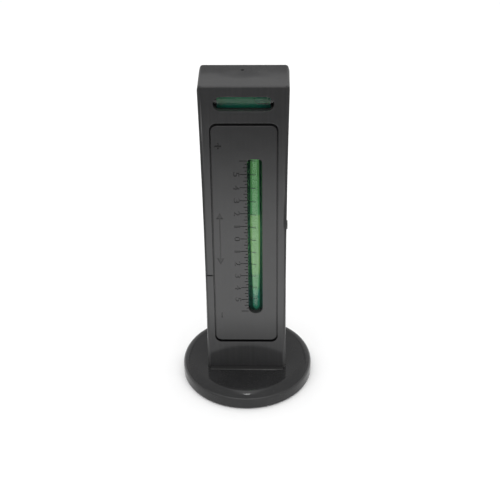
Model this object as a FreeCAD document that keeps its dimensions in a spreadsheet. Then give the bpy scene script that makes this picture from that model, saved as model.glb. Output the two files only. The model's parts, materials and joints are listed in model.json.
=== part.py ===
import FreeCAD, Part

import math
import os

import Sketcher
from FreeCAD import Placement, Rotation, Vector

# A magnetic camber and caster gauge, standing upright on its base.
# +Z is up, the camber face looks along -Y, and the origin is the centre of the underside.

DIMENSIONS = {
    # overall
    "total_height": 127.0,
    "base_diameter": 50.0,
    "base_height": 7.4,
    # column
    "foot_width": 30.1,
    "taper": 1.25,
    "side_hollow": 0.44,
    "column_depth": 17.7,
    "corner_radius": 1.2,
    "top_edge_radius": 0.6,
    "brow_drop": 1.8,
    "brow_inset": 0.5,
    # panel openings, alike at the front and the back
    "foot_band": 12.25,
    "head_band": 13.85,
    "stile": 3.2,
    "opening_corner": 2.6,
    "face_wall": 2.0,
    "ledge": 1.0,
    "seam_width": 0.42,
    "seam_end": 1.0,
    "seam_depth": 1.1,
    "panel_fit": 0.1,
    "panel_edge": 0.25,
    "opening_edge": 0.15,
    "slot_edge": 0.15,
    "window_edge": 0.2,
    # scale and slot
    "vial_offset": 3.6,
    "slot_drop": 0.2,
    "slot_width": 5.2,
    "slot_head_corner": 1.3,
    "slot_margin": 6.2,
    "scale_radius": 307.3,
    "tick_width": 0.3,
    "tick_depth": 0.2,
    "tick_reach": 2.7,
    "half_tick_reach": 1.4,
    "quarter_tick_reach": 0.85,
    # vial tubes and their plugs
    "tube_radius": 2.7,
    "bore_radius": 2.0,
    "vial_margin": 7.6,
    "crown_depth": 0.25,
    "plug_depth": 3.0,
    "level_plug_depth": 1.5,
    "plug_head": 1.0,
    "plug_edge": 0.25,
    "seat_fit": 0.05,
    "film": 0.03,
    # bubbles
    "bubble_radius": 1.45,
    "bubble_clear": 0.1,
    "bubble_room": 0.15,
    "channel_overrun": 1.0,
    "bubble_length": 5.0,
    "level_bubble_length": 5.4,
    # cradle between the long vials
    "cradle_relief": 2.35,
    "cradle_waist": 17.5,
    "cradle_end_gap": 0.3,
    "cradle_fit": 0.1,
    "cradle_wall": 1.5,
    # snap hooks of the panels
    "hook_inset": 16.5,
    "hook_width": 4.0,
    "hook_thickness": 1.2,
    "hook_length": 4.2,
    "barb_height": 1.35,
    "barb_bite": 0.4,
    "hook_fit": 0.15,
    # level vial and its pocket
    "level_below_top": 7.3,
    "level_window_rise": 0.62,
    "level_end_wall": 3.625,
    "level_slot_inset": 1.7,
    "level_slot_height": 5.4,
    "level_pocket_corner": 1.0,
    "level_end_gap": 0.4,
    "retainer_gap": 1.6,
    "saddle_length": 3.6,
    "retainer_wall": 1.0,
    # foot of the column
    "foot_wall": 2.2,
    "foot_hollow": 9.0,
    "lip_reach": 2.0,
    "lip_height": 0.5,
    "lip_edge": 0.3,
    "boss_wall": 1.85,
    "insert_radius": 3.5,
    "insert_length": 9.0,
    "insert_groove_depth": 0.25,
    "insert_groove_width": 1.0,
    "bore_beyond_insert": 1.0,
    # magnet base
    "cup_plate": 2.0,
    "cup_wall": 1.8,
    "cup_rim_radius": 3.5,
    "cup_foot_radius": 0.8,
    "magnet_recess": 0.3,
    "magnet_fit": 0.1,
    "pole_radius": 9.0,
    "screw_radius": 2.5,
    "screw_tip_gap": 0.6,
    "screw_head_radius": 4.6,
    "screw_head_height": 2.2,
    "screw_head_edge": 0.75,
    "screw_dome_reach": 2.75,
    "screw_dome_drop": 0.55,
    "screw_tip_chamfer": 0.6,
    "screw_head_sink": 0.6,
    "screw_head_room": 0.6,
    "screw_clearance": 0.25,
    "thread_fit": 0.05,
    "drive_width": 1.0,
    "drive_length": 5.0,
    "drive_depth": 1.3,
    "washer_radius": 4.4,
    "washer_thickness": 0.9,
    "washer_split": 0.8,
    # small marks of moulding
    "notch_height": 50.3,
    "notch_length": 2.7,
    "notch_width": 0.6,
    "notch_depth": 0.6,
    "gate_height": 71.3,
    "gate_radius": 1.6,
    "gate_proud": 0.22,
    "dimple_aside": 0.5,
    "dimple_back": 4.2,
    "dimple_radius": 0.55,
    "dimple_depth": 0.4,
}

DOC = FreeCAD.newDocument("camber_caster_gauge")
SHEET = DOC.addObject("Spreadsheet::Sheet", "Dims")
PIECES = []


def fill_sheet():
    for row, (name, value) in enumerate(DIMENSIONS.items(), start=1):
        SHEET.set(f"A{row}", name)
        SHEET.set(f"B{row}", str(value))
        SHEET.setAlias(f"B{row}", name)
    DOC.recompute()


def size(formula):
    """The present value of a formula over the sheet's cells."""
    return float(SHEET.evalExpression(formula.replace("Dims.", "")))


# ---------------------------------------------------------------- sketches and features


def new_body(label):
    body = DOC.addObject("PartDesign::Body", label)
    body.Label = label
    PIECES.append(body)
    return body


def new_sketch(body, plane, across="0", up="0", out="0"):
    """A sketch on one of the body's own planes, its origin moved by the three formulas."""
    roles = {item.Role: item for item in body.Origin.OriginFeatures}
    sketch = body.newObject("Sketcher::SketchObject", f"{body.Label}_sketch")
    sketch.AttachmentSupport = [(roles[plane], "")]
    sketch.MapMode = "FlatFace"
    for axis, formula in zip("xyz", (across, up, out)):
        sketch.setExpression(f"AttachmentOffset.Base.{axis}", formula)
    DOC.recompute()
    return sketch


def drive(sketch, kind, *where, formula):
    """Add one dimension to a sketch and tie it to a formula."""
    number = sketch.addConstraint(Sketcher.Constraint(kind, *where, size(formula)))
    name = f"d{number}"
    sketch.renameConstraint(number, name)
    sketch.setExpression(f"Constraints.{name}", formula)


def relate(sketch, kind, *where):
    sketch.addConstraint(Sketcher.Constraint(kind, *where))


def draw_circle(sketch, radius):
    ring = sketch.addGeometry(Part.Circle(Vector(), Vector(0, 0, 1), size(radius)))
    relate(sketch, "Coincident", ring, 3, -1, 1)
    drive(sketch, "Radius", ring, formula=radius)


def draw_circle_at(sketch, across, up, radius):
    centre = Vector(size(across), size(up), 0)
    ring = sketch.addGeometry(Part.Circle(centre, Vector(0, 0, 1), size(radius)))
    pin_point(sketch, ring, 3, across, up)
    drive(sketch, "Radius", ring, formula=radius)


def pin_point(sketch, item, end, across, up):
    """Fix a point by two formulas; a zero puts it on the axis itself."""
    if across == "0":
        relate(sketch, "PointOnObject", item, end, -2)
    else:
        drive(sketch, "DistanceX", item, end, formula=across)
    if up == "0":
        relate(sketch, "PointOnObject", item, end, -1)
    else:
        drive(sketch, "DistanceY", item, end, formula=up)


def draw_rectangle(sketch, width, height):
    """A rectangle centred on the sketch's origin."""
    half_w, half_h = size(width) / 2, size(height) / 2
    signs = ((-1, -1), (1, -1), (1, 1), (-1, 1))
    corners = [Vector(a * half_w, b * half_h) for a, b in signs]
    sides = [sketch.addGeometry(Part.LineSegment(corners[k], corners[(k + 1) % 4])) for k in range(4)]
    for k, side in enumerate(sides):
        relate(sketch, "Coincident", side, 2, sides[(k + 1) % 4], 1)
        relate(sketch, ("Horizontal", "Vertical")[k % 2], side)
    relate(sketch, "Symmetric", sides[0], 1, sides[2], 1, -1, 1)
    drive(sketch, "DistanceX", sides[0], 1, sides[0], 2, formula=width)
    drive(sketch, "DistanceY", sides[1], 1, sides[1], 2, formula=height)


def draw_rounded(sketch, width, height, radius):
    """A rectangle with round corners, centred on the sketch's origin."""
    r = size(radius)
    near_w, near_h = size(width) / 2 - r, size(height) / 2 - r
    centres = [Vector(a * near_w, b * near_h) for a, b in ((1, -1), (1, 1), (-1, 1), (-1, -1))]
    outward = [Vector(0, -r), Vector(r, 0), Vector(0, r), Vector(-r, 0)]
    sides = []
    for k, out in enumerate(outward):
        side = Part.LineSegment(centres[k - 1] + out, centres[k] + out)
        sides.append(sketch.addGeometry(side))
    arcs = []
    for k, centre in enumerate(centres):
        ring = Part.Circle(centre, Vector(0, 0, 1), r)
        turn = math.pi / 2 * k
        arcs.append(sketch.addGeometry(Part.ArcOfCircle(ring, turn - math.pi / 2, turn)))
    for k in range(4):
        relate(sketch, "Tangent", sides[k], 2, arcs[k], 1)
        relate(sketch, "Tangent", arcs[k], 2, sides[(k + 1) % 4], 1)
        relate(sketch, ("Horizontal", "Vertical")[k % 2], sides[k])
    for arc in arcs[1:]:
        relate(sketch, "Equal", arcs[0], arc)
    relate(sketch, "Symmetric", arcs[0], 3, arcs[2], 3, -1, 1)
    drive(sketch, "Radius", arcs[0], formula=radius)
    drive(sketch, "DistanceX", arcs[3], 3, arcs[0], 3, formula=f"{width} - 2 * ({radius})")
    drive(sketch, "DistanceY", arcs[0], 3, arcs[1], 3, formula=f"{height} - 2 * ({radius})")


def draw_slot(sketch, length, width):
    """A slot with round ends that lies level, centred on the sketch's origin."""
    radius = f"{width} / 2"
    along = Vector((size(length) - size(width)) / 2, 0)
    side = Vector(0, size(radius))
    right_ring = Part.Circle(along, Vector(0, 0, 1), size(radius))
    left_ring = Part.Circle(-along, Vector(0, 0, 1), size(radius))
    right = sketch.addGeometry(Part.ArcOfCircle(right_ring, -math.pi / 2, math.pi / 2))
    top = sketch.addGeometry(Part.LineSegment(along + side, side - along))
    left = sketch.addGeometry(Part.ArcOfCircle(left_ring, math.pi / 2, math.pi * 3 / 2))
    sill = sketch.addGeometry(Part.LineSegment(-along - side, along - side))
    for item, after in ((right, top), (top, left), (left, sill), (sill, right)):
        relate(sketch, "Tangent", item, 2, after, 1)
    relate(sketch, "Horizontal", top)
    relate(sketch, "Symmetric", right, 3, left, 3, -1, 1)
    drive(sketch, "Radius", right, formula=radius)
    drive(sketch, "DistanceX", left, 3, right, 3, formula=f"{length} - ({width})")


def draw_outline(sketch, corners, bows=None):
    """A closed outline through corners given by formulas; bows names a point that a curved side passes."""
    bows = bows or {}
    points = [Vector(size(a), size(b), 0) for a, b in corners]
    ends = []
    for k, start in enumerate(points):
        stop = points[(k + 1) % len(points)]
        if k in bows:
            ends.append(draw_bow(sketch, start, stop, *bows[k]))
        else:
            ends.append((sketch.addGeometry(Part.LineSegment(start, stop)), 1, 2))
    for k, (item, start, stop) in enumerate(ends):
        after, after_start, _ = ends[(k + 1) % len(ends)]
        relate(sketch, "Coincident", item, stop, after, after_start)
        pin_point(sketch, item, start, *corners[k])


def draw_bow(sketch, start, stop, across, up):
    """An arc from start to stop through a point; gives its number and the numbers of its two ends."""
    via = Vector(size(across), size(up), 0)
    ring = Part.Arc(start, via, stop).toShape().Curve
    angles = [math.atan2(p.y - ring.Center.y, p.x - ring.Center.x) for p in (start, via, stop)]
    forward = (angles[1] - angles[0]) % (2 * math.pi) < (angles[2] - angles[0]) % (2 * math.pi)
    first, last = (angles[0], angles[2]) if forward else (angles[2], angles[0])
    last = first + (last - first) % (2 * math.pi)
    circle = Part.Circle(ring.Center, Vector(0, 0, 1), ring.Radius)
    arc = sketch.addGeometry(Part.ArcOfCircle(circle, first, last))
    mark = sketch.addGeometry(Part.Point(via), True)
    pin_point(sketch, mark, 1, across, up)
    relate(sketch, "PointOnObject", mark, 1, arc)
    return (arc, 1, 2) if forward else (arc, 2, 1)


def add_feature(body, kind, sketch, **settings):
    """A sketch-based feature; text settings are formulas, the rest are plain values."""
    before = body.Shape.Volume if body.Tip else 0.0
    feature = body.newObject(f"PartDesign::{kind}", f"{body.Label}_{kind.lower()}")
    feature.Profile = sketch
    for name, value in settings.items():
        if isinstance(value, str) and name in ("Length", "Angle"):
            feature.setExpression(name, value)
        else:
            setattr(feature, name, value)
    sketch.Visibility = False
    DOC.recompute()
    gained = feature.Shape.Volume - before
    if (gained < 0) != (kind in ("Pocket", "Groove")) or abs(gained) < 1e-6:
        raise RuntimeError(f"{feature.Label} changed the volume by {gained:.4f}")
    return feature


def add_pad(body, sketch, length, **settings):
    return add_feature(body, "Pad", sketch, Length=length, **settings)


def add_pocket(body, sketch, length, **settings):
    return add_feature(body, "Pocket", sketch, Length=length, **settings)


def add_turn(body, sketch, kind="Revolution", axis="V_Axis", **settings):
    return add_feature(body, kind, sketch, ReferenceAxis=(sketch, [axis]), **settings)


def add_fillet(body, radius, chosen, kind="Fillet"):
    """Round or chamfer the tip's edges that a test chooses, and those that run on smoothly from them."""
    names = [f"Edge{n}" for n, edge in enumerate(body.Tip.Shape.Edges, start=1) if chosen(edge)]
    if not names:
        raise RuntimeError(f"{body.Label}: no edge to round")
    feature = body.newObject(f"PartDesign::{kind}", f"{body.Label}_{kind.lower()}")
    feature.Base = (body.Tip if body.Tip is not feature else feature.BaseFeature, names)
    feature.setExpression("Radius" if kind == "Fillet" else "Size", radius)
    DOC.recompute()
    return feature


def add_row(body, feature, axis, length, count):
    """Repeat a feature along one of the body's axes."""
    roles = {item.Role: item for item in body.Origin.OriginFeatures}
    row = body.newObject("PartDesign::LinearPattern", f"{body.Label}_row")
    row.Originals = [feature]
    row.Direction = (roles[axis], [""])
    row.setExpression("Length", length)
    row.setExpression("Occurrences", count)
    body.Tip = row
    DOC.recompute()
    return row


def near(value, wanted):
    return abs(value - wanted) < 1e-4


def upright(edge, low, high):
    """True for an edge that climbs from one height to another."""
    return near(edge.BoundBox.ZMin, low) and near(edge.BoundBox.ZMax, high)


def at_face(edge, y):
    """True for an edge that lies in the plane of a face that looks along Y."""
    return near(edge.BoundBox.YMin, y) and near(edge.BoundBox.YMax, y)


# ---------------------------------------------------------------- shared formulas

FACE = "Dims.column_depth / 2"
INNER_FACE = f"({FACE} - Dims.face_wall)"
TOP_WIDTH = "(Dims.foot_width + Dims.taper)"
BROW_HEIGHT = "(Dims.total_height - Dims.brow_drop)"
OPENING_FOOT = "(Dims.base_height + Dims.foot_band)"
OPENING_WIDTH = "(Dims.foot_width - 2 * Dims.stile)"
OPENING_HEIGHT = f"(Dims.total_height - Dims.head_band - {OPENING_FOOT})"
OPENING_MIDDLE = f"({OPENING_FOOT} + {OPENING_HEIGHT} / 2)"
CAVITY_WIDTH = f"({OPENING_WIDTH} - 2 * Dims.ledge)"
CAVITY_HEIGHT = f"({OPENING_HEIGHT} - 2 * Dims.ledge)"
CAVITY_CORNER = "(Dims.opening_corner - Dims.ledge)"

# the scale arc: its zero, its centre behind the face and the tube that follows it
SCALE_ZERO = OPENING_MIDDLE
PER_DEGREE = "(Dims.scale_radius * pi / 180)"
VIAL_LENGTH = f"({OPENING_HEIGHT} - 2 * Dims.vial_margin)"
SLOT_LENGTH = f"({VIAL_LENGTH} - 2 * Dims.slot_margin)"
DEGREES = f"floor({SLOT_LENGTH} / 2 / {PER_DEGREE})"
SEAT_RADIUS = "(Dims.tube_radius + Dims.seat_fit)"
IN_SLOT = f"sqrt(max(0; {SEAT_RADIUS} ^ 2 - (Dims.slot_width / 2) ^ 2))"
SLOT_SAG = f"(Dims.scale_radius - sqrt(Dims.scale_radius ^ 2 - ({SLOT_LENGTH} / 2) ^ 2))"
AT_SLOT_END = f"({SEAT_RADIUS} - {SLOT_SAG})"
LOWEST_CROWN = "Dims.tube_radius + Dims.crown_depth"
VIAL_SETBACK = f"max(Dims.face_wall + {IN_SLOT}; Dims.face_wall + {AT_SLOT_END}; {LOWEST_CROWN})"
VIAL_AXIS = f"({FACE} - {VIAL_SETBACK})"
ARC_CENTRE = f"(Dims.scale_radius - {VIAL_AXIS})"
PLUGGED_LENGTH = f"({VIAL_LENGTH} + 2 * Dims.plug_head)"
BORE_LENGTH = f"({VIAL_LENGTH} - 2 * Dims.plug_depth)"
SPIRIT_RADIUS = "(Dims.bore_radius - Dims.film)"
BUBBLE_RISE = "(Dims.bore_radius - Dims.bubble_radius - Dims.bubble_clear)"
CHANNEL_RADIUS = "(Dims.bubble_radius + Dims.bubble_room)"

LEVEL_HEIGHT = "(Dims.total_height - Dims.level_below_top)"
WINDOW_HEIGHT = f"({LEVEL_HEIGHT} + Dims.level_window_rise)"
LEVEL_AXIS = f"({INNER_FACE} - {SEAT_RADIUS})"
POCKET_LENGTH = f"({TOP_WIDTH} - 2 * Dims.level_end_wall)"
POCKET_HEIGHT = f"(2 * {SEAT_RADIUS} + 2 * Dims.panel_fit)"
LEVEL_SLOT_LENGTH = f"({POCKET_LENGTH} - 2 * Dims.level_slot_inset)"
LEVEL_VIAL_LENGTH = f"({POCKET_LENGTH} - 2 * Dims.plug_head - 2 * Dims.level_end_gap)"
LEVEL_BORE_LENGTH = f"({LEVEL_VIAL_LENGTH} - 2 * Dims.level_plug_depth)"

CRADLE_FACE = f"({INNER_FACE} - Dims.cradle_relief)"
HOOK_SPREAD = f"({OPENING_HEIGHT} - 2 * Dims.hook_inset)"

INSERT_BORE = "(Dims.insert_length + Dims.bore_beyond_insert)"
CUP_CEILING = "(Dims.base_height - Dims.cup_plate)"
CUP_INSIDE = "(Dims.base_diameter / 2 - Dims.cup_wall)"
INNER_BEND = "(Dims.cup_rim_radius - Dims.cup_wall)"
SCREW_BORE = "(Dims.screw_radius + Dims.screw_clearance)"
HEAD_TOP = "(Dims.screw_head_sink + Dims.screw_head_height)"
SCREW_LENGTH = f"(Dims.base_height - {HEAD_TOP} + Dims.insert_length - Dims.screw_tip_gap)"
HALF_TURN = Placement(Vector(), Rotation(Vector(0, 0, 1), 180))


def arc_angle(length):
    """Degrees of the scale arc that a length along it covers."""
    return f"{length} / Dims.scale_radius * 180 / pi"


# ---------------------------------------------------------------- column


def make_column():
    body = new_body("column_shell")
    outline = new_sketch(body, "XZ_Plane")
    middle = "(Dims.base_height + Dims.total_height) / 2"
    waist = f"(({TOP_WIDTH} + Dims.foot_width) / 4 - Dims.side_hollow)"
    corners = [
        ("-Dims.foot_width / 2", "Dims.base_height"),
        ("Dims.foot_width / 2", "Dims.base_height"),
        (f"{TOP_WIDTH} / 2", BROW_HEIGHT),
        (f"{TOP_WIDTH} / 2 - Dims.brow_inset", "Dims.total_height"),
        (f"-({TOP_WIDTH} / 2 - Dims.brow_inset)", "Dims.total_height"),
        (f"-{TOP_WIDTH} / 2", BROW_HEIGHT),
    ]
    draw_outline(outline, corners, {1: (waist, middle), 5: (f"-{waist}", middle)})
    add_pad(body, outline, "Dims.column_depth", SideType="Symmetric")
    low, brow, top = size("Dims.base_height"), size(BROW_HEIGHT), size("Dims.total_height")
    front = -size(FACE)
    add_fillet(body, "Dims.corner_radius", lambda e: upright(e, low, brow) or upright(e, brow, top))
    add_fillet(body, "Dims.top_edge_radius", lambda e: near(e.BoundBox.ZMin, top) and at_face(e, front))
    add_foot_lip(body)
    cut_panel_openings(body)
    cut_level_window(body)
    cut_foot(body)
    cut_hook_notches(body)
    add_moulding_marks(body)


def add_foot_lip(body):
    """A thin lip along the foot of both broad faces, where the moulding stands on the base."""
    lip = new_sketch(body, "XY_Plane", out="Dims.base_height")
    flat_width = "Dims.foot_width - 2 * Dims.corner_radius"
    draw_rectangle(lip, flat_width, "Dims.column_depth + 2 * Dims.lip_reach")
    add_pad(body, lip, "Dims.lip_height")
    crest = size("Dims.base_height + Dims.lip_height")
    reach = size(f"{FACE} + Dims.lip_reach")
    for face in (-reach, reach):
        add_fillet(body, "Dims.lip_edge", lambda e: near(e.BoundBox.ZMin, crest) and at_face(e, face))


def cut_panel_openings(body):
    core = new_sketch(body, "XZ_Plane", up=OPENING_MIDDLE)
    draw_rounded(core, CAVITY_WIDTH, CAVITY_HEIGHT, CAVITY_CORNER)
    add_pocket(body, core, "Dims.column_depth + 2 * Dims.face_wall", SideType="Symmetric")
    for face, reverse in ((FACE, False), (f"-{FACE}", True)):
        recess = new_sketch(body, "XZ_Plane", up=OPENING_MIDDLE, out=face)
        draw_rounded(recess, OPENING_WIDTH, OPENING_HEIGHT, "Dims.opening_corner")
        add_pocket(body, recess, "Dims.face_wall", Reversed=reverse)
        y, jamb = -size(face), size(OPENING_WIDTH) / 2
        add_fillet(body, "Dims.opening_edge", lambda e: at_face(e, y) and near(e.BoundBox.XMin, jamb))


def cut_level_window(body):
    window = new_sketch(body, "XZ_Plane", up=WINDOW_HEIGHT, out=FACE)
    draw_slot(window, LEVEL_SLOT_LENGTH, "Dims.level_slot_height")
    add_pocket(body, window, "Dims.face_wall")
    sill = size(f"{WINDOW_HEIGHT} - Dims.level_slot_height / 2")
    add_fillet(body, "Dims.window_edge", lambda e: at_face(e, -size(FACE)) and near(e.BoundBox.ZMax, sill))
    pocket = new_sketch(body, "XZ_Plane", up=LEVEL_HEIGHT, out=f"-{FACE}")
    draw_rounded(pocket, POCKET_LENGTH, POCKET_HEIGHT, "Dims.level_pocket_corner")
    add_pocket(body, pocket, "Dims.column_depth - Dims.face_wall", Reversed=True)


def cut_foot(body):
    """The hollow underneath, with the boss for the brass insert left standing in it."""
    hollow = new_sketch(body, "XY_Plane", out="Dims.base_height")
    inner = ("Dims.foot_width - 2 * Dims.foot_wall", "Dims.column_depth - 2 * Dims.foot_wall")
    draw_rounded(hollow, *inner, "Dims.corner_radius")
    add_pocket(body, hollow, "Dims.foot_hollow", Reversed=True)
    boss = new_sketch(body, "XY_Plane", out="Dims.base_height")
    draw_circle(boss, "Dims.insert_radius + Dims.boss_wall")
    add_pad(body, boss, "Dims.foot_hollow")
    bore = new_sketch(body, "XY_Plane", out="Dims.base_height")
    draw_circle(bore, "Dims.insert_radius + Dims.seat_fit")
    add_pocket(body, bore, INSERT_BORE, Reversed=True)


def cut_hook_notches(body):
    """Undercuts in the side walls for the barbs of both panels."""
    deep = "(Dims.hook_length - Dims.barb_height / 2)"
    notch_size = ("Dims.barb_height + 2 * Dims.hook_fit", "Dims.hook_width + 2 * Dims.hook_fit")
    for face in ("-1", "1"):
        notch = new_sketch(
            body,
            "YZ_Plane",
            across=f"{face} * ({INNER_FACE} - {deep})",
            up=f"{OPENING_FOOT} + Dims.hook_inset",
        )
        draw_rectangle(notch, *notch_size)
        reach = f"{CAVITY_WIDTH} + 2 * (Dims.barb_bite + Dims.hook_fit)"
        cut = add_pocket(body, notch, reach, SideType="Symmetric")
        add_row(body, cut, "Z_Axis", HOOK_SPREAD, "2")


def add_moulding_marks(body):
    stile_middle = "((Dims.foot_width - Dims.stile) / 2)"
    notch = new_sketch(body, "XZ_Plane", across=f"-{stile_middle}", up="Dims.notch_height", out=FACE)
    draw_rectangle(notch, "Dims.notch_length", "Dims.notch_width")
    add_pocket(body, notch, "Dims.notch_depth")
    dimple = new_sketch(
        body, "XY_Plane", across="-Dims.dimple_aside", up="Dims.dimple_back", out="Dims.total_height"
    )
    draw_circle(dimple, "Dims.dimple_radius")
    add_pocket(body, dimple, "Dims.dimple_depth")
    proud = "Dims.foot_width / 2 + Dims.gate_proud"
    gate = new_sketch(body, "YZ_Plane", across=f"-{INNER_FACE}", up="Dims.gate_height", out=proud)
    draw_circle(gate, "Dims.gate_radius")
    add_pad(body, gate, "Dims.foot_wall", Reversed=True)


# ---------------------------------------------------------------- panels


def make_panel(label, placement):
    """A snap-in panel with its slot and engraved scale, drawn for the front."""
    body = new_body(label)
    flange = new_sketch(body, "XZ_Plane", up=OPENING_MIDDLE, out=INNER_FACE)
    draw_rounded(
        flange,
        f"{OPENING_WIDTH} - 2 * Dims.panel_fit",
        f"{OPENING_HEIGHT} - 2 * Dims.panel_fit",
        "Dims.opening_corner - Dims.panel_fit",
    )
    add_pad(body, flange, "Dims.face_wall - Dims.seam_depth")
    plate = new_sketch(body, "XZ_Plane", up=OPENING_MIDDLE, out=INNER_FACE)
    draw_rounded(
        plate,
        f"{OPENING_WIDTH} - 2 * Dims.seam_width",
        f"{OPENING_HEIGHT} - 2 * Dims.seam_end",
        "Dims.opening_corner - Dims.seam_width",
    )
    add_pad(body, plate, "Dims.face_wall")
    front = -size(FACE)
    add_fillet(body, "Dims.panel_edge", lambda e: at_face(e, front))
    slot_middle = f"{SCALE_ZERO} - Dims.slot_drop"
    slot = new_sketch(body, "XZ_Plane", across="Dims.vial_offset", up=slot_middle, out=FACE)
    draw_scale_slot(slot)
    add_pocket(body, slot, "Dims.face_wall")
    side = size("Dims.vial_offset + Dims.slot_width / 2")
    add_fillet(body, "Dims.slot_edge", lambda e: at_face(e, front) and near(e.BoundBox.XMin, side))
    cut_scale(body)
    add_hooks(body)
    body.Placement = placement


def draw_scale_slot(sketch):
    """The outline of the scale's slot, centred on the sketch's origin: a round foot and a squarer head."""
    half, reach, corner = "Dims.slot_width / 2", f"{SLOT_LENGTH} / 2", "Dims.slot_head_corner"
    cheek = f"{corner} * (1 - sin(45 deg))"
    corners = [
        (f"-{half}", f"{half} - {reach}"),
        (half, f"{half} - {reach}"),
        (half, f"{reach} - {corner}"),
        (f"{half} - {corner}", reach),
        (f"{corner} - {half}", reach),
        (f"-{half}", f"{reach} - {corner}"),
    ]
    bows = {
        0: ("0", f"-{reach}"),
        2: (f"{half} - {cheek}", f"{reach} - {cheek}"),
        4: (f"{cheek} - {half}", f"{reach} - {cheek}"),
    }
    draw_outline(sketch, corners, bows)


def cut_scale(body):
    """Engraved lines at whole, half and quarter degrees, each row starting at the foot of the scale."""
    whole = f"2 * {DEGREES}"
    cut_ticks(body, "Dims.tick_reach", "0", whole)
    cut_ticks(body, "Dims.half_tick_reach", "0.5", f"{whole} - 1")
    cut_ticks(body, "Dims.quarter_tick_reach", "0.25", f"{whole} - 1")
    cut_ticks(body, "Dims.quarter_tick_reach", "0.75", f"{whole} - 1")


def cut_ticks(body, reach, start, steps):
    foot = f"{SCALE_ZERO} + ({start} - {DEGREES}) * {PER_DEGREE}"
    edge = f"(Dims.vial_offset - Dims.slot_width / 2 - {reach} / 2)"
    tick = new_sketch(body, "XZ_Plane", across=edge, up=foot, out=FACE)
    draw_rectangle(tick, reach, "Dims.tick_width")
    cut = add_pocket(body, tick, "Dims.tick_depth")
    add_row(body, cut, "Z_Axis", f"({steps}) * {PER_DEGREE}", f"{steps} + 1")


def add_hooks(body):
    """Two pairs of snap hooks on the panel's inner face."""
    wall = f"({CAVITY_WIDTH} / 2 - Dims.hook_fit)"
    for sign in ("-1", "1"):
        hook = new_sketch(
            body,
            "XZ_Plane",
            across=f"{sign} * ({wall} - Dims.hook_thickness / 2)",
            up=f"{OPENING_FOOT} + Dims.hook_inset",
            out=INNER_FACE,
        )
        draw_rectangle(hook, "Dims.hook_thickness", "Dims.hook_width")
        arm = add_pad(body, hook, "Dims.hook_length", Reversed=True)
        add_row(body, arm, "Z_Axis", HOOK_SPREAD, "2")
        barb = new_sketch(
            body,
            "XZ_Plane",
            across=f"{sign} * ({wall} - Dims.hook_thickness / 2 + Dims.barb_bite / 2)",
            up=f"{OPENING_FOOT} + Dims.hook_inset",
            out=f"{INNER_FACE} - Dims.hook_length",
        )
        draw_rectangle(barb, "Dims.hook_thickness + Dims.barb_bite", "Dims.hook_width")
        tip = add_pad(body, barb, "Dims.barb_height")
        add_row(body, tip, "Z_Axis", HOOK_SPREAD, "2")


# ---------------------------------------------------------------- long vials


def arc_sketch(body):
    """A sketch across the vial at the scale's zero, its horizontal axis the centre of the arc."""
    return new_sketch(body, "XY_Plane", up=ARC_CENTRE, out=SCALE_ZERO)


def make_long_tube(label, placement):
    body = new_body(label)
    section = arc_sketch(body)
    for radius in ("Dims.tube_radius", "Dims.bore_radius"):
        draw_circle_at(section, "Dims.vial_offset", "-Dims.scale_radius", radius)
    add_turn(body, section, axis="H_Axis", Angle=arc_angle(VIAL_LENGTH), Midplane=True)
    body.Placement = placement


def make_long_liquid(label, placement):
    """Spirit filling the bore, with a channel for the bubble along the crown."""
    body = new_body(label)
    section = arc_sketch(body)
    draw_circle_at(section, "Dims.vial_offset", "-Dims.scale_radius", SPIRIT_RADIUS)
    full_length = f"({BORE_LENGTH} - 2 * Dims.film)"
    add_turn(body, section, axis="H_Axis", Angle=arc_angle(full_length), Midplane=True)
    channel = arc_sketch(body)
    crown = f"-(Dims.scale_radius + {BUBBLE_RISE})"
    draw_circle_at(channel, "Dims.vial_offset", crown, CHANNEL_RADIUS)
    longer = arc_angle(f"({BORE_LENGTH} + 2 * Dims.channel_overrun)")
    add_turn(body, channel, kind="Groove", axis="H_Axis", Angle=longer, Midplane=True)
    body.Placement = placement


def on_arc(length, side):
    """Where a piece made straight, along +Z at the origin, sits on the front or back arc."""
    angle = size(arc_angle(f"({length})"))
    to_centre = Vector(size("Dims.vial_offset"), size(ARC_CENTRE), size(SCALE_ZERO))
    swing = Placement(to_centre, Rotation(Vector(1, 0, 0), -angle))
    seat = Placement(Vector(0, -size("Dims.scale_radius"), 0), Rotation())
    return side.multiply(swing).multiply(seat)


def make_plug(label, depth, placement):
    """An end plug: a stub that fills the end of the bore and a head that closes the tube."""
    body = new_body(label)
    profile = new_sketch(body, "XZ_Plane")
    corners = [
        ("0", f"-{depth}"),
        ("Dims.bore_radius - Dims.film", f"-{depth}"),
        ("Dims.bore_radius - Dims.film", "0"),
        ("Dims.tube_radius", "0"),
        ("Dims.tube_radius", "Dims.plug_head"),
        ("0", "Dims.plug_head"),
    ]
    draw_outline(profile, corners)
    add_turn(body, profile)
    head = size("Dims.plug_head")
    add_fillet(body, "Dims.plug_edge", lambda e: near(e.BoundBox.ZMin, head))
    body.Placement = placement


def make_bubble(label, length, placement):
    """An air bubble: a capsule along Z with its middle at the origin."""
    body = new_body(label)
    profile = new_sketch(body, "XZ_Plane")
    straight = f"({length} / 2 - Dims.bubble_radius)"
    corners = [
        ("0", f"-{length} / 2"),
        ("Dims.bubble_radius", f"-{straight}"),
        ("Dims.bubble_radius", straight),
        ("0", f"{length} / 2"),
    ]
    cheek = "Dims.bubble_radius * sin(45 deg)"
    bows = {0: (cheek, f"-({straight} + {cheek})"), 2: (cheek, f"{straight} + {cheek}")}
    draw_outline(profile, corners, bows)
    add_turn(body, profile)
    body.Placement = placement


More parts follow.
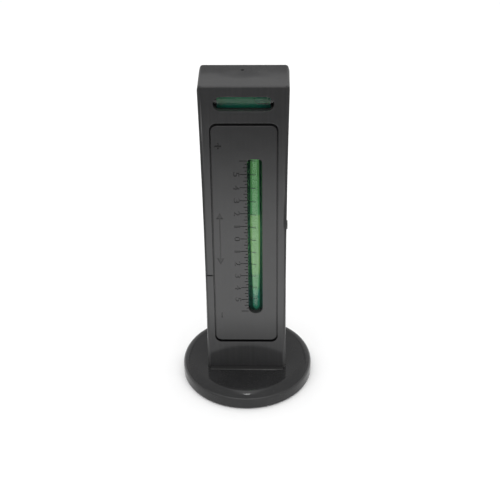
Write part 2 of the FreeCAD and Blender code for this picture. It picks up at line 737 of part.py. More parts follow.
def make_long_vial(name, side):
    make_long_tube(f"{name}_vial", side)
    make_long_liquid(f"{name}_liquid", side)
    make_plug(f"{name}_vial_top_plug", "Dims.plug_depth", on_arc(f"{VIAL_LENGTH} / 2", side))
    upside_down = Placement(Vector(), Rotation(Vector(1, 0, 0), 180))
    foot = on_arc(f"-{VIAL_LENGTH} / 2", side).multiply(upside_down)
    make_plug(f"{name}_vial_foot_plug", "Dims.plug_depth", foot)
    rest = on_arc(f"{BORE_LENGTH} / 2 - Dims.bubble_length / 2 - Dims.bubble_room", side)
    rise = Placement(Vector(0, -size(BUBBLE_RISE), 0), Rotation())
    make_bubble(f"{name}_bubble", "Dims.bubble_length", rest.multiply(rise))


def make_cradle():
    """The core: end blocks clamped between the panels and a waist that both tubes lie in."""
    body = new_body("vial_cradle")
    waist = new_sketch(body, "XZ_Plane", up=OPENING_MIDDLE)
    draw_rectangle(waist, "Dims.cradle_waist", f"{CAVITY_HEIGHT} - 2 * Dims.cradle_fit")
    add_pad(body, waist, f"2 * {CRADLE_FACE}", SideType="Symmetric")
    half_tube = f"(Dims.scale_radius * sin({PLUGGED_LENGTH} / 2 / Dims.scale_radius * 180 deg / pi))"
    foot = f"({OPENING_MIDDLE} - {CAVITY_HEIGHT} / 2 + Dims.cradle_fit)"
    head = f"({OPENING_MIDDLE} + {CAVITY_HEIGHT} / 2 - Dims.cradle_fit)"
    low_block = f"({SCALE_ZERO} - {half_tube} - Dims.cradle_end_gap - {foot})"
    high_block = f"({head} - {SCALE_ZERO} - {half_tube} - Dims.cradle_end_gap)"
    blocks = [(f"{foot} + {low_block} / 2", low_block), (f"{head} - {high_block} / 2", high_block)]
    for middle, height in blocks:
        block = new_sketch(body, "XZ_Plane", up=middle)
        draw_rounded(block, f"{CAVITY_WIDTH} - 2 * Dims.cradle_fit", height, CAVITY_CORNER)
        add_pad(body, block, f"2 * ({INNER_FACE} - Dims.cradle_fit)", SideType="Symmetric")
    cut_cradle_channels(body)


def cut_cradle_channels(body):
    """A channel for each tube, and behind each channel's flank a hollow that lightens the core."""
    for sign, mirror in (("", "-"), ("-", "")):
        channel = new_sketch(body, "XY_Plane", up=f"{sign}{ARC_CENTRE}", out=SCALE_ZERO)
        draw_circle_at(channel, f"{sign}Dims.vial_offset", f"{mirror}Dims.scale_radius", SEAT_RADIUS)
        length = arc_angle(f"({PLUGGED_LENGTH} + Dims.cradle_end_gap)")
        add_turn(body, channel, kind="Groove", axis="H_Axis", Angle=length, Midplane=True)
    width = f"(Dims.cradle_waist / 2 + Dims.vial_offset - {SEAT_RADIUS} - 2 * Dims.cradle_wall)"
    middle = f"(Dims.cradle_waist / 2 - Dims.cradle_wall - {width} / 2)"
    sag = f"(Dims.scale_radius - sqrt(Dims.scale_radius ^ 2 - ({VIAL_LENGTH} / 2) ^ 2))"
    depth = f"({CRADLE_FACE} + {VIAL_AXIS} - {sag} - {SEAT_RADIUS} - Dims.cradle_wall)"
    for sign, mirror in (("", "-"), ("-", "")):
        face = f"{sign}{CRADLE_FACE}"
        hollow = new_sketch(body, "XZ_Plane", across=f"{mirror}{middle}", up=SCALE_ZERO, out=face)
        draw_rounded(hollow, width, f"{VIAL_LENGTH} - 4 * Dims.cradle_wall", "Dims.cradle_wall")
        add_pocket(body, hollow, depth, Reversed=bool(sign))


# ---------------------------------------------------------------- level vial


def level_sketch(body, up=LEVEL_HEIGHT):
    """A sketch across the level vial at its middle."""
    return new_sketch(body, "YZ_Plane", across=f"-{LEVEL_AXIS}", up=up)


def make_level_tube():
    body = new_body("level_vial")
    section = level_sketch(body)
    draw_circle(section, "Dims.tube_radius")
    draw_circle(section, "Dims.bore_radius")
    add_pad(body, section, LEVEL_VIAL_LENGTH, SideType="Symmetric")


def make_level_liquid():
    body = new_body("level_liquid")
    section = level_sketch(body)
    draw_circle(section, SPIRIT_RADIUS)
    add_pad(body, section, f"{LEVEL_BORE_LENGTH} - 2 * Dims.film", SideType="Symmetric")
    channel = level_sketch(body, up=f"{LEVEL_HEIGHT} + {BUBBLE_RISE}")
    draw_circle(channel, CHANNEL_RADIUS)
    add_pocket(body, channel, f"{LEVEL_BORE_LENGTH} + 2 * Dims.channel_overrun", SideType="Symmetric")


def at_level(across, rise, turn):
    place = Vector(across, -size(LEVEL_AXIS), size(LEVEL_HEIGHT) + rise)
    return Placement(place, Rotation(Vector(0, 1, 0), turn))


def make_level_retainer():
    """The block that backs the level vial: two saddles joined by a hollow body, flush with the back."""
    body = new_body("level_retainer")
    outline = new_sketch(body, "XZ_Plane", up=LEVEL_HEIGHT, out=f"-{FACE}")
    length, height = f"({POCKET_LENGTH} - 2 * Dims.panel_fit)", f"({POCKET_HEIGHT} - 2 * Dims.panel_fit)"
    draw_rounded(outline, length, height, "Dims.level_pocket_corner - Dims.panel_fit")
    depth = f"({FACE} + {LEVEL_AXIS} - Dims.retainer_gap)"
    add_pad(body, outline, depth)
    saddle = level_sketch(body)
    draw_circle(saddle, SEAT_RADIUS)
    add_pocket(body, saddle, POCKET_LENGTH, SideType="Symmetric")
    hollow = new_sketch(body, "XZ_Plane", up=LEVEL_HEIGHT, out=f"{LEVEL_AXIS} - Dims.retainer_gap")
    draw_rectangle(hollow, f"{length} - 2 * Dims.saddle_length", f"{height} - 2 * Dims.retainer_wall")
    add_pocket(body, hollow, f"{depth} - Dims.face_wall")


def make_level_vial():
    make_level_tube()
    make_level_liquid()
    half = size(LEVEL_VIAL_LENGTH) / 2
    make_plug("level_vial_right_plug", "Dims.level_plug_depth", at_level(half, 0, 90))
    make_plug("level_vial_left_plug", "Dims.level_plug_depth", at_level(-half, 0, -90))
    rest = size(f"{LEVEL_BORE_LENGTH} / 2 - Dims.level_bubble_length / 2 - Dims.bubble_room")
    make_bubble("level_bubble", "Dims.level_bubble_length", at_level(rest, size(BUBBLE_RISE), 90))
    make_level_retainer()


# ---------------------------------------------------------------- magnet base


def edge_at(height, radius):
    """A test for the round edge at a height and radius."""
    z, r = size(height), size(radius)
    return lambda e: near(e.BoundBox.ZMin, z) and near(e.BoundBox.ZMax, z) and near(e.BoundBox.XMax, r)


def make_cup():
    """The drawn steel cup: a flat plate, a rounded rim and a wall down to the working face."""
    body = new_body("magnet_cup")
    profile = new_sketch(body, "XZ_Plane")
    corners = [
        (CUP_INSIDE, "0"),
        ("Dims.base_diameter / 2", "0"),
        ("Dims.base_diameter / 2", "Dims.base_height"),
        (SCREW_BORE, "Dims.base_height"),
        (SCREW_BORE, CUP_CEILING),
        (CUP_INSIDE, CUP_CEILING),
    ]
    draw_outline(profile, corners)
    add_turn(body, profile)
    add_fillet(body, "Dims.cup_rim_radius", edge_at("Dims.base_height", "Dims.base_diameter / 2"))
    add_fillet(body, "Dims.cup_foot_radius", edge_at("0", "Dims.base_diameter / 2"))
    add_fillet(body, INNER_BEND, edge_at(CUP_CEILING, CUP_INSIDE))


def make_magnet():
    body = new_body("ring_magnet")
    section = new_sketch(body, "XY_Plane", out="Dims.magnet_recess")
    rim = f"({CUP_INSIDE} - Dims.magnet_fit)"
    draw_circle(section, rim)
    draw_circle(section, "Dims.pole_radius + Dims.magnet_fit")
    add_pad(body, section, f"{CUP_CEILING} - Dims.magnet_recess")
    add_fillet(body, INNER_BEND, edge_at(CUP_CEILING, rim), kind="Chamfer")


def make_pole():
    """The steel core: it carries the flux and takes the screw's head in its counterbore."""
    body = new_body("pole_piece")
    section = new_sketch(body, "XY_Plane")
    draw_circle(section, "Dims.pole_radius")
    add_pad(body, section, CUP_CEILING)
    bore = new_sketch(body, "XY_Plane")
    draw_circle(bore, SCREW_BORE)
    add_pocket(body, bore, "Dims.base_height", Reversed=True)
    counterbore = new_sketch(body, "XY_Plane")
    draw_circle(counterbore, "Dims.screw_head_radius + Dims.screw_head_room")
    add_pocket(body, counterbore, f"{HEAD_TOP} + Dims.washer_thickness", Reversed=True)


def make_screw():
    """A pan head screw, head down, with a cross drive."""
    body = new_body("base_screw")
    profile = new_sketch(body, "XZ_Plane")
    crown = "Dims.screw_head_sink"
    tip = f"{HEAD_TOP} + {SCREW_LENGTH}"
    corners = [
        ("0", crown),
        ("Dims.screw_head_radius", f"{HEAD_TOP} - Dims.screw_head_edge"),
        ("Dims.screw_head_radius", HEAD_TOP),
        ("Dims.screw_radius", HEAD_TOP),
        ("Dims.screw_radius", f"{tip} - Dims.screw_tip_chamfer"),
        ("Dims.screw_radius - Dims.screw_tip_chamfer", tip),
        ("0", tip),
    ]
    dome = ("Dims.screw_dome_reach", f"{crown} + Dims.screw_dome_drop")
    draw_outline(profile, corners, {0: dome})
    add_turn(body, profile)
    for turned in (False, True):
        drive_slot = new_sketch(body, "XY_Plane", out=f"{crown} + Dims.drive_depth")
        sides = ("Dims.drive_width", "Dims.drive_length")
        draw_rectangle(drive_slot, *(sides[::-1] if turned else sides))
        add_pocket(body, drive_slot, "2 * Dims.drive_depth")


def make_washer():
    """A split spring washer under the screw head."""
    body = new_body("lock_washer")
    section = new_sketch(body, "XY_Plane", out=HEAD_TOP)
    draw_circle(section, "Dims.washer_radius")
    draw_circle(section, "Dims.screw_radius + Dims.screw_clearance / 2")
    add_pad(body, section, "Dims.washer_thickness")
    split = new_sketch(body, "XY_Plane", across="Dims.washer_radius", out=HEAD_TOP)
    draw_rectangle(split, "Dims.washer_radius * 2 - Dims.screw_radius", "Dims.washer_split")
    add_pocket(body, split, "Dims.washer_thickness", Reversed=True)


def make_insert():
    """The brass insert in the foot boss, with two grooves round it."""
    body = new_body("threaded_insert")
    section = new_sketch(body, "XY_Plane", out="Dims.base_height")
    draw_circle(section, "Dims.insert_radius")
    draw_circle(section, "Dims.screw_radius + Dims.thread_fit")
    add_pad(body, section, "Dims.insert_length")
    for third in ("1", "2"):
        middle = f"Dims.base_height + Dims.insert_length * {third} / 3"
        groove = new_sketch(body, "XZ_Plane", across="Dims.insert_radius", up=middle)
        draw_rectangle(groove, "2 * Dims.insert_groove_depth", "Dims.insert_groove_width")
        add_groove_round(body, groove)


def add_groove_round(body, sketch):
    roles = {item.Role: item for item in body.Origin.OriginFeatures}
    return add_feature(body, "Groove", sketch, ReferenceAxis=(roles["Z_Axis"], [""]), Angle="360")


# ---------------------------------------------------------------- build, check and write


def build_all():
    fill_sheet()
    front = Placement()
    make_column()
    make_panel("camber_panel", front)
    make_panel("caster_panel", HALF_TURN)
    make_long_vial("camber", front)
    make_long_vial("caster", HALF_TURN)
    make_cradle()
    make_level_vial()
    make_cup()
    make_magnet()
    make_pole()
    make_screw()
    make_washer()
    make_insert()
    DOC.recompute()


def check_all():
    for item in DOC.Objects:
        bad = {"Invalid", "Error"} & set(item.State)
        if bad:
            raise RuntimeError(f"{item.Label} is {sorted(bad)}")
    for piece in PIECES:
        shape = piece.Shape
        if shape.isNull() or not shape.isValid() or not shape.Solids:
            raise RuntimeError(f"{piece.Label} has no valid solid")
        print(f"{piece.Label:24} {len(shape.Solids)} solid  {shape.Volume:10.2f} mm3")


def write_all():
    os.makedirs("parts", exist_ok=True)
    for piece in PIECES:
        piece.Shape.exportStep(os.path.join("parts", f"{piece.Label}.step"))


build_all()
check_all()
write_all()
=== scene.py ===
# %% [markdown]
# # A magnetic camber and caster gauge
#
# The real tool is a tapered black moulding on a round magnet base. A long bent spirit vial
# looks out of a slot in each broad face, beside an engraved degree scale, and a short level
# vial lies behind a window across the top. The CAD frame already holds every part at its real
# size. This lesson gives the parts their finishes, cuts the numbers into the panels, fills the
# vials with spirit, and lights the gauge on a pale table.

# %% Load the frame
import json
import math

import bmesh
import bpy
from mathutils import Matrix, Vector

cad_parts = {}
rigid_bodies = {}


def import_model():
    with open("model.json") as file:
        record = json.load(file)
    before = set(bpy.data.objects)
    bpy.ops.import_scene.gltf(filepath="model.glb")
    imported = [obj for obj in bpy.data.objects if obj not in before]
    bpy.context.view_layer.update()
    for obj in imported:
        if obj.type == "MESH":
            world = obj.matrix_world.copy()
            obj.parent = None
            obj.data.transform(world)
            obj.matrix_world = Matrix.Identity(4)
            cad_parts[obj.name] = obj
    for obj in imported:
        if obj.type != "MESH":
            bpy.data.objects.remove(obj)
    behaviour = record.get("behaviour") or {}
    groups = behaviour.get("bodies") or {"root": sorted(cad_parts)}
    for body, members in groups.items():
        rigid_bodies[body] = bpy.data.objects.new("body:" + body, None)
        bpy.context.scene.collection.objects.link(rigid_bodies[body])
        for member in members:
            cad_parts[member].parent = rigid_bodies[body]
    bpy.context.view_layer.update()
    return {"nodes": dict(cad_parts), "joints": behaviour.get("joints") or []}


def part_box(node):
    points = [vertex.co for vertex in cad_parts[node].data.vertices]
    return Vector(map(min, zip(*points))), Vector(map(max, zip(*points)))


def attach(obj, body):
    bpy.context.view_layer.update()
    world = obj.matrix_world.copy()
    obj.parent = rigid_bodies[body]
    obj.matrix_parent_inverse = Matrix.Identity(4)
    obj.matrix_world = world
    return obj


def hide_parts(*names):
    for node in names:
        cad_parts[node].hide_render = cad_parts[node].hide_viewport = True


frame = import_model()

MM = 0.001

# %% [markdown]
# ## The camera
#
# The gauge is seen from a little above, with the camera about 45 cm away. A camera could be
# aimed with a Track To constraint, but its small roll would be lost, so the three turns are
# multiplied together here: a roll about its own axis, a tilt down, and a swing round the
# gauge.

# %% Place the camera
AIM = Vector((0.0, 0.0, 63.5)) * MM
VIEW_DISTANCE = 446.4 * MM
TILT_DOWN, SWING, ROLL = 0.568, 0.027, -0.013
FOCAL_LENGTH, SENSOR_WIDTH = 87.24, 36.0
FRAME_SHIFT = (0.0086, -0.0349)
NEAREST, FARTHEST = 0.01, 20.0

tilt = Matrix.Rotation(math.pi / 2 - TILT_DOWN, 4, "X")
turn = Matrix.Rotation(SWING, 4, "Z") @ tilt @ Matrix.Rotation(ROLL, 4, "Z")
look = turn.to_3x3() @ Vector((0.0, 0.0, -1.0))
lens = bpy.data.cameras.new("studio_camera")
lens.lens, lens.sensor_width = FOCAL_LENGTH, SENSOR_WIDTH
lens.shift_x, lens.shift_y = FRAME_SHIFT
lens.clip_start, lens.clip_end = NEAREST, FARTHEST
camera = bpy.data.objects.new("studio_camera", lens)
bpy.context.scene.collection.objects.link(camera)
camera.matrix_world = Matrix.Translation(AIM - look * VIEW_DISTANCE) @ turn
bpy.context.scene.camera = camera
print("camera stands at", [round(value / MM, 1) for value in camera.matrix_world.translation])

# %% [markdown]
# ## Modelling helpers
#
# Blender's operators work on whatever is selected. Each helper below therefore starts by
# clearing the selection, so that a step never catches a part it was not meant for.

# %% Selection and editing
WELD = 0.0005 * MM


def choose(*objects):
    """Select these objects alone; the first is the active one."""
    for other in bpy.context.view_layer.objects:
        other.select_set(False)
    for piece in objects:
        piece.select_set(True)
    bpy.context.view_layer.objects.active = objects[0]


def edit(piece, kind="FACE"):
    """Open a piece for editing with nothing selected."""
    choose(piece)
    bpy.ops.object.mode_set(mode="EDIT")
    bpy.ops.mesh.select_mode(type=kind)
    bpy.ops.mesh.select_all(action="DESELECT")


def pick_faces(piece, wanted):
    """Select the faces whose centre passes a test."""
    mesh = bmesh.from_edit_mesh(piece.data)
    for face in mesh.faces:
        if wanted(face.calc_center_median()):
            face.select_set(True)
    bmesh.update_edit_mesh(piece.data)


def close_edit():
    bpy.ops.object.mode_set(mode="OBJECT")


def apply(piece, kind, **settings):
    """Add a modifier and apply it at once."""
    choose(piece)
    modifier = piece.modifiers.new(kind.title(), kind)
    for name, value in settings.items():
        setattr(modifier, name, value)
    bpy.ops.object.modifier_apply(modifier=modifier.name)


def settle(piece, place=Matrix.Identity(4)):
    """Move a piece's place into its mesh, so that the object itself sits at the origin."""
    piece.data.transform(place @ piece.matrix_world)
    piece.matrix_world = Matrix.Identity(4)
    return piece


def join(name, pieces):
    choose(*pieces)
    bpy.ops.object.join()
    pieces[0].name = pieces[0].data.name = name
    return pieces[0]


def repeat(piece, place):
    """A copy with its own mesh, put in place."""
    copy = bpy.data.objects.new(piece.name + "_copy", piece.data.copy())
    bpy.context.scene.collection.objects.link(copy)
    copy.data.transform(place)
    return copy


def face_out(piece, angle=30):
    """Merge doubles, turn every face outwards, and keep edges sharper than the angle crisp."""
    edit(piece)
    bpy.ops.mesh.select_all(action="SELECT")
    bpy.ops.mesh.remove_doubles(threshold=WELD)
    bpy.ops.mesh.normals_make_consistent(inside=False)
    close_edit()
    choose(piece)
    bpy.ops.object.shade_smooth_by_angle(angle=math.radians(angle))
    return piece


def merged_copy(node, name):
    """A welded copy of a CAD node, free of the normals it was loaded with."""
    copy = bpy.data.objects.new(name, frame["nodes"][node].data.copy())
    bpy.context.scene.collection.objects.link(copy)
    choose(copy)
    bpy.ops.mesh.customdata_custom_splitnormals_clear()
    return face_out(copy)


print("modelling helpers ready, doubles merge within", WELD / MM, "mm")

# %% [markdown]
# ## Shader helper
#
# A node material is a sum written with boxes and wires. The class below lets the sum be
# written as Python instead: each value knows its socket, and adding or multiplying two values
# adds the Math node that does it.

# %% Values and finishes
class Value:
    """A socket that can be used in an expression."""

    def __init__(self, finish, socket):
        self.finish, self.socket = finish, socket

    def __add__(self, other):
        return self.finish.maths("ADD", self, other)

    def __sub__(self, other):
        return self.finish.maths("SUBTRACT", self, other)

    def __rsub__(self, other):
        return self.finish.maths("SUBTRACT", other, self)

    def __mul__(self, other):
        return self.finish.maths("MULTIPLY", self, other)

    def __lt__(self, other):
        return self.finish.maths("LESS_THAN", self, other)

    def __gt__(self, other):
        return self.finish.maths("GREATER_THAN", self, other)

    def __abs__(self):
        return self.finish.maths("ABSOLUTE", self)

    __radd__, __rmul__ = __add__, __mul__


class Finish:
    """One node material and the shorthand that builds it."""

    def __init__(self, name):
        self.material = bpy.data.materials.new(name)
        self.material.use_nodes = True
        self.tree = self.material.node_tree
        self.tree.nodes.clear()
        self.place = self.node("ShaderNodeTexCoord", out="Object")

    def node(self, kind, settings=None, feeds=None, out=0):
        """Add any node: its settings first, then the values or links of its sockets."""
        made = self.tree.nodes.new(kind)
        for name, value in (settings or {}).items():
            if name == "stops":
                self.fill_ramp(made.color_ramp.elements, value)
            else:
                setattr(made, name, value)
        for name, value in (feeds or {}).items():
            self.feed(made.inputs[name], value)
        return Value(self, made.outputs[out]) if made.outputs else None

    def feed(self, socket, value):
        if isinstance(value, Value):
            self.tree.links.new(value.socket, socket)
        else:
            socket.default_value = value

    def fill_ramp(self, elements, stops):
        """Put a ramp's colours at their positions; a new ramp has two of them already."""
        while len(elements) < len(stops):
            elements.new(1.0)
        for element, (position, colour) in zip(elements, stops):
            element.position, element.color = position, colour

    def maths(self, operation, *values):
        return self.node("ShaderNodeMath", {"operation": operation}, dict(enumerate(values)))

    def axis(self, name):
        """The X, Y or Z of the point being shaded, in metres."""
        return self.node("ShaderNodeSeparateXYZ", feeds={0: self.place}, out=name)

    def ease(self, value, start, end, low=0.0, high=1.0):
        """Go smoothly from low to high as the value goes from start to end."""
        feeds = {0: value, 1: start, 2: end, 3: low, 4: high}
        return self.node("ShaderNodeMapRange", {"interpolation_type": "SMOOTHSTEP"}, feeds)

    def stretch(self, x, y, z):
        """The point being shaded, with each direction scaled, to draw a pattern out."""
        return self.node("ShaderNodeMapping", feeds={"Vector": self.place, "Scale": (x, y, z)})

    def noise(self, size, detail=2.0, over=None):
        """Soft random values from 0 to 1, in patches of about this size in millimetres."""
        feeds = {"Vector": over or self.place, "Scale": 1.0 / (size * MM), "Detail": detail}
        return self.node("ShaderNodeTexNoise", feeds=feeds)

    def tone(self, shade, blue):
        """A grey of this shade with its blue scaled."""
        return self.node("ShaderNodeCombineColor", feeds={0: shade, 1: shade, 2: shade * blue})

    def blend(self, mask, below, above):
        """Mix two colours by a mask."""
        feeds = {0: mask, 6: below, 7: above}
        return self.node("ShaderNodeMix", {"data_type": "RGBA"}, feeds, out=2)

    def scaled(self, colour, factor):
        """Make a colour brighter or darker by a factor."""
        feeds = {0: colour, "Scale": factor}
        return self.node("ShaderNodeVectorMath", {"operation": "SCALE"}, feeds)

    def lean(self, mask, below, above):
        """Mix two normals by a mask."""
        feeds = {0: mask, 4: below, 5: above}
        return self.node("ShaderNodeMix", {"data_type": "VECTOR"}, feeds, out=1)

    def bump(self, height, depth, onto=None):
        """Lift the surface by a height of 0 to 1 times a depth in millimetres."""
        feeds = {"Height": height, "Distance": depth * MM, "Strength": 1.0}
        if onto:
            feeds["Normal"] = onto
        return self.node("ShaderNodeBump", feeds=feeds)

    def surface(self, **feeds):
        """The Principled shader; base_color feeds its Base Color socket, and so on."""
        named = {}
        for name, value in feeds.items():
            named[name.replace("_", " ").title().replace("Ior", "IOR")] = value
        return self.node("ShaderNodeBsdfPrincipled", feeds=named)

    def done(self, shader):
        self.node("ShaderNodeOutputMaterial", feeds={"Surface": shader})
        return self.material


def grey(value):
    return (value, value, value, 1.0)


print("a middle grey is", grey(0.5))

# %% [markdown]
# ## The table and the world
#
# A small black object needs large soft lights, because black plastic shows the lights'
# reflections more than its own colour. It stands on a pale table, and an even grey world
# lights it from all sides. A curved paper sweep could hide the horizon, but the table is wide
# enough to fill the frame. Distances here are in metres.

# %% Table and world
TABLE_SIZE, TABLE_DROP = 6.0, 0.05 * MM


def make_table():
    bpy.ops.mesh.primitive_plane_add(size=TABLE_SIZE, location=(0, 0, -TABLE_DROP))
    table = settle(bpy.context.object)
    table.name = "table_top"
    recipe = Finish("table_paper")
    tint = recipe.blend(recipe.noise(60), grey(0.94), grey(0.96))
    table.data.materials.append(recipe.done(recipe.surface(base_color=tint, roughness=0.9)))
    print("table is", [round(side, 2) for side in table.dimensions], "m")


def make_world(brightness):
    world = bpy.data.worlds.new("studio_world")
    world.use_nodes = True
    background = world.node_tree.nodes["Background"]
    background.inputs["Color"].default_value = grey(1.0)
    background.inputs["Strength"].default_value = brightness
    bpy.context.scene.world = world


make_table()
make_world(brightness=0.47)
bpy.context.scene.view_settings.view_transform = "Standard"

# %% [markdown]
# ## Cards for the reflections
#
# What the plastic mirrors is three cards with printed gradients, which nothing but reflections
# sees. They could be real lamps, but a lamp that makes a good reflection would also throw
# light where it isn't wanted. The card on the table is pale just in front of the gauge, which
# lights the middle of the front face, and dark farther out, which darkens its top and its
# edges. The card far behind is grey with one paler stripe, and the flat top of the column
# mirrors that stripe. The card overhead is pale in the middle.

# %% Cards that only reflections see
FRONT_CARD_SIZE, FRONT_CARD_LIFT = 2.4, 0.3 * MM
FAR_FADE, NEAR_FADE, SIDE_FADE = (-0.24, -0.09), (-0.056, -0.032), (0.04, 0.12)
BACK_CARD_PLACE, BACK_CARD_SIZE = (0, 1.6, 0.75), (4, 0.9, 1, 1)
STRIPE_HEIGHT, STRIPE_FADE, UPPER_FADE = 0.88, (0.005, 0.045), (0.86, 0.91)
OVERHEAD_PLACE, OVERHEAD_SIZE, OVERHEAD_FADE = (0, -0.25, 1.25), (1.6, 1.7, 1, 1), (0.08, 0.4)


def print_card(card, name, recipe, shade, pale, dark):
    """Give a card its printed gradient and hide it from everything but reflections."""
    card.name = name
    dim = recipe.node("ShaderNodeEmission", feeds={"Color": grey(1.0), "Strength": dark})
    lit = recipe.node("ShaderNodeEmission", feeds={"Color": grey(1.0), "Strength": pale})
    mixed = recipe.node("ShaderNodeMixShader", feeds={0: shade, 1: dim, 2: lit})
    card.data.materials.append(recipe.done(mixed))
    card.visible_camera = card.visible_shadow = False
    card.visible_diffuse = card.visible_transmission = False
    print(name, "is", [round(side, 2) for side in card.dimensions], "m")


def make_front_card():
    bpy.ops.mesh.primitive_plane_add(size=FRONT_CARD_SIZE, location=(0, 0, FRONT_CARD_LIFT))
    card = settle(bpy.context.object)
    recipe = Finish("front_card")
    ahead = recipe.axis("Y")
    far = recipe.ease(ahead, *FAR_FADE)
    near = recipe.ease(ahead, *NEAR_FADE, low=1.0, high=0.4)
    middle = recipe.ease(abs(recipe.axis("X")), *SIDE_FADE, low=1.0, high=0.12)
    print_card(card, "front_card", recipe, far * near * middle, pale=1.7, dark=0.01)


def make_back_card():
    bpy.ops.mesh.primitive_plane_add(size=1.0)
    upright = Matrix.Rotation(math.pi / 2, 4, "X") @ Matrix.Diagonal(BACK_CARD_SIZE)
    card = settle(bpy.context.object, Matrix.Translation(BACK_CARD_PLACE) @ upright)
    recipe = Finish("back_card")
    off_stripe = abs(recipe.axis("Z") - STRIPE_HEIGHT)
    stripe = recipe.ease(off_stripe, *STRIPE_FADE, low=1.0, high=0.0)
    upper = recipe.ease(recipe.axis("Z"), *UPPER_FADE, low=0.6, high=0.3)
    print_card(card, "back_card", recipe, upper + 0.5 * stripe, pale=0.85, dark=0.0)


def make_overhead_card():
    bpy.ops.mesh.primitive_plane_add(size=1.0)
    flat = Matrix.Diagonal(OVERHEAD_SIZE)
    card = settle(bpy.context.object, Matrix.Translation(OVERHEAD_PLACE) @ flat)
    recipe = Finish("overhead_card")
    middle = recipe.ease(abs(recipe.axis("X")), *OVERHEAD_FADE, low=1.0, high=0.0)
    print_card(card, "overhead_card", recipe, middle, pale=1.2, dark=0.45)


make_front_card()
make_back_card()
make_overhead_card()

# %% [markdown]
# ## The lamps
#
# The wide softbox hangs just ahead of the gauge and lights everything evenly. It is hidden
# from reflections, which are the cards' business. A second, much smaller lamp makes the
# highlight on the rim of the magnet base. It could light the whole scene, but it would then be
# mirrored in the column too, so it is linked to the cup alone.

# %% Softbox and lamp
def make_softbox(name, place, aim, wide, high, radiance, mirrored=True):
    """A rectangular lamp that shines this bright; its power grows with its area."""
    light = bpy.data.lights.new(name, "AREA")
    light.shape, light.size, light.size_y = "RECTANGLE", wide, high
    light.energy = radiance * math.pi * wide * high
    lamp = bpy.data.objects.new(name, light)
    bpy.context.scene.collection.objects.link(lamp)
    turned = (Vector(aim) - Vector(place)).to_track_quat("-Z", "Y").to_matrix().to_4x4()
    lamp.matrix_world = Matrix.Translation(place) @ turned
    lamp.visible_glossy = mirrored
    print(name, "gives", round(light.energy, 2), "W")
    return lamp


def light_only(lamp, piece):
    """Flag the lamp off from everything but one piece."""
    lit = bpy.data.collections.new(f"{lamp.name}_lights")
    lit.objects.link(piece)
    lamp.light_linking.receiver_collection = lit


make_softbox(
    "softbox_overhead", place=(0.0, -0.3, 1.2), aim=(0, -0.3, 0),
    wide=2.4, high=2.4, radiance=1.35, mirrored=False,
)
glint = make_softbox(
    "lamp_on_base", place=(0.0, -0.56, 0.72), aim=(0, 0, 0), wide=0.11, high=0.16, radiance=9.0
)
light_only(glint, bpy.data.objects["magnet_cup"])

# %% [markdown]
# ## The black mouldings
#
# The column and its snap-in panels are moulded in one black plastic, but some places on the
# column differ from the rest. Its thick top sank into a shallow dish. The walls of its
# openings are painted dark, as the shade that falls there because little light gets in. The
# thin lip at its foot is painted darker as shade, with a pale painted highlight along its outer
# edge, and the corners above it are scuffed dull. These could be separate pieces with their own
# finishes, but masks made from the position of the point being shaded can fade softly into the
# rest.

# %% Masks on the column
TOP_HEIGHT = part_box("column_shell")[1].z
panel_low, panel_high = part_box("camber_panel")
FACE = -panel_low.y
PANEL_FIT = 0.1 * MM
OPENING = (panel_high.x + PANEL_FIT, panel_low.z - PANEL_FIT, panel_high.z + PANEL_FIT)
DISH_HALF, DISH_ASIDE = 9.0 * MM, 1.0 * MM
BESIDE, BEHIND_FACE = 0.03 * MM, 0.25 * MM
LIP_TOP, LIP_REACH = 7.86 * MM, 1.0 * MM
LIP_FADE = (7.9 * MM, 8.3 * MM)
HIGHLIGHT_START, HIGHLIGHT_END = (-9.0 * MM, 9.0 * MM), (10.0 * MM, 13.0 * MM)
SCUFF_FADE, SCUFF_CORNER = (9.0 * MM, 30.0 * MM), (13.4 * MM, 14.6 * MM)


def sink_dish(recipe):
    """The hollow the thick top sank into, deepest along a line that bends forward midway."""
    wave = recipe.ease(abs(recipe.axis("X") - DISH_ASIDE), 0.0, 7.0 * MM, -3.2 * MM, -1.2 * MM)
    off_line = (recipe.axis("Y") - wave) * (1 / DISH_HALF)
    return off_line * off_line


def in_the_seam(recipe):
    """A mask for the walls of the panel openings, where shade makes the seam dark."""
    across = abs(recipe.axis("X")) < OPENING[0] + BESIDE
    below_head = recipe.axis("Z") < OPENING[2] + BESIDE
    above_foot = recipe.axis("Z") > OPENING[1] - BESIDE
    sunk = abs(recipe.axis("Y")) < FACE - BEHIND_FACE
    return across * below_head * above_foot * sunk


def scuffed_foot(recipe):
    """A mask for the dull corners of the column near its foot."""
    low = recipe.ease(recipe.axis("Z"), *SCUFF_FADE, low=1.0, high=0.0)
    corner = recipe.ease(abs(recipe.axis("X")), *SCUFF_CORNER)
    return low * corner


def lip_colour(recipe, colour):
    """Painted shade on the lip, and a painted highlight along its outer edge towards the right."""
    lip = recipe.ease(recipe.axis("Z"), *LIP_FADE, low=1.0, high=0.0)
    edge = (recipe.axis("Z") < LIP_TOP) * (abs(recipe.axis("Y")) > FACE + LIP_REACH)
    right = recipe.ease(recipe.axis("X"), *HIGHLIGHT_START)
    right = right * recipe.ease(recipe.axis("X"), *HIGHLIGHT_END, low=1.0, high=0.0)
    painted_highlight = right * recipe.ease(recipe.noise(3.0, 2.0), 0.3, 0.6, 0.5, 1.0)
    # Painted shade darkens the lip, and a pale painted highlight lies along its outer edge.
    lip_painted_shade = recipe.blend(lip, colour, grey(0.026))
    return recipe.blend(edge * painted_highlight, lip_painted_shade, grey(0.07))


print("face is at", round(FACE / MM, 2), "mm and the top at", round(TOP_HEIGHT / MM, 1), "mm")
